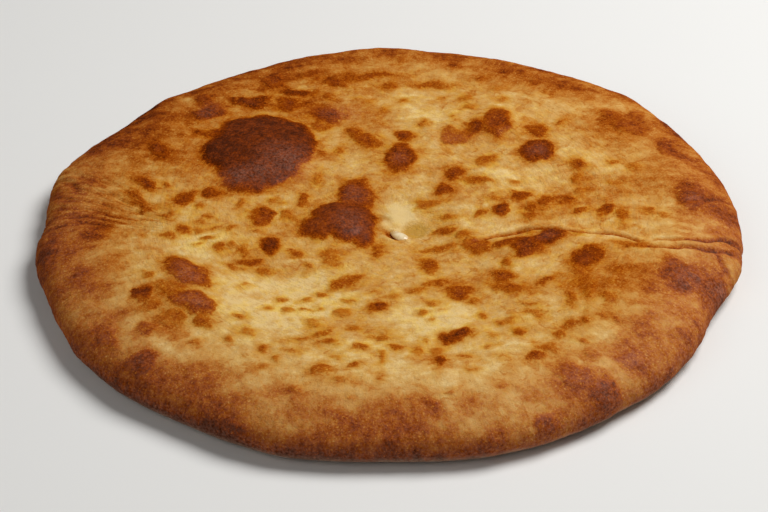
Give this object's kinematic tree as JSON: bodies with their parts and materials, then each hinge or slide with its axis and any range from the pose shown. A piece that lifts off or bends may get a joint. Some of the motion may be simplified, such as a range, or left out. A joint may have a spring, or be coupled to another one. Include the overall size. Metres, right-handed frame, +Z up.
{
  "type": "imeruli khachapuri",
  "caption": "Round flat cheese-filled bread, baked shut and whole, with a blistered mottled crust, a folded ridge and a small torn steam vent showing cheese.",
  "frame": {"origin": "middle of the flat base, under the centre of the bread's bounding box", "axes": "+Z up out of the blistered top; the folded ridge runs out from beside the centre towards +X; -Y is the near edge"},
  "size_m": [0.283, 0.2812, 0.0225],
  "materials": {
    "crust": "oven-baked bread crust, golden cream mottled with brown, satin to matte",
    "cheese": "moist melted brine cheese, pale ochre, glossy"
  },
  "bodies": {
    "root": {"crust": "crust", "vent_cheese": "cheese"}
  },
  "joints": []
}
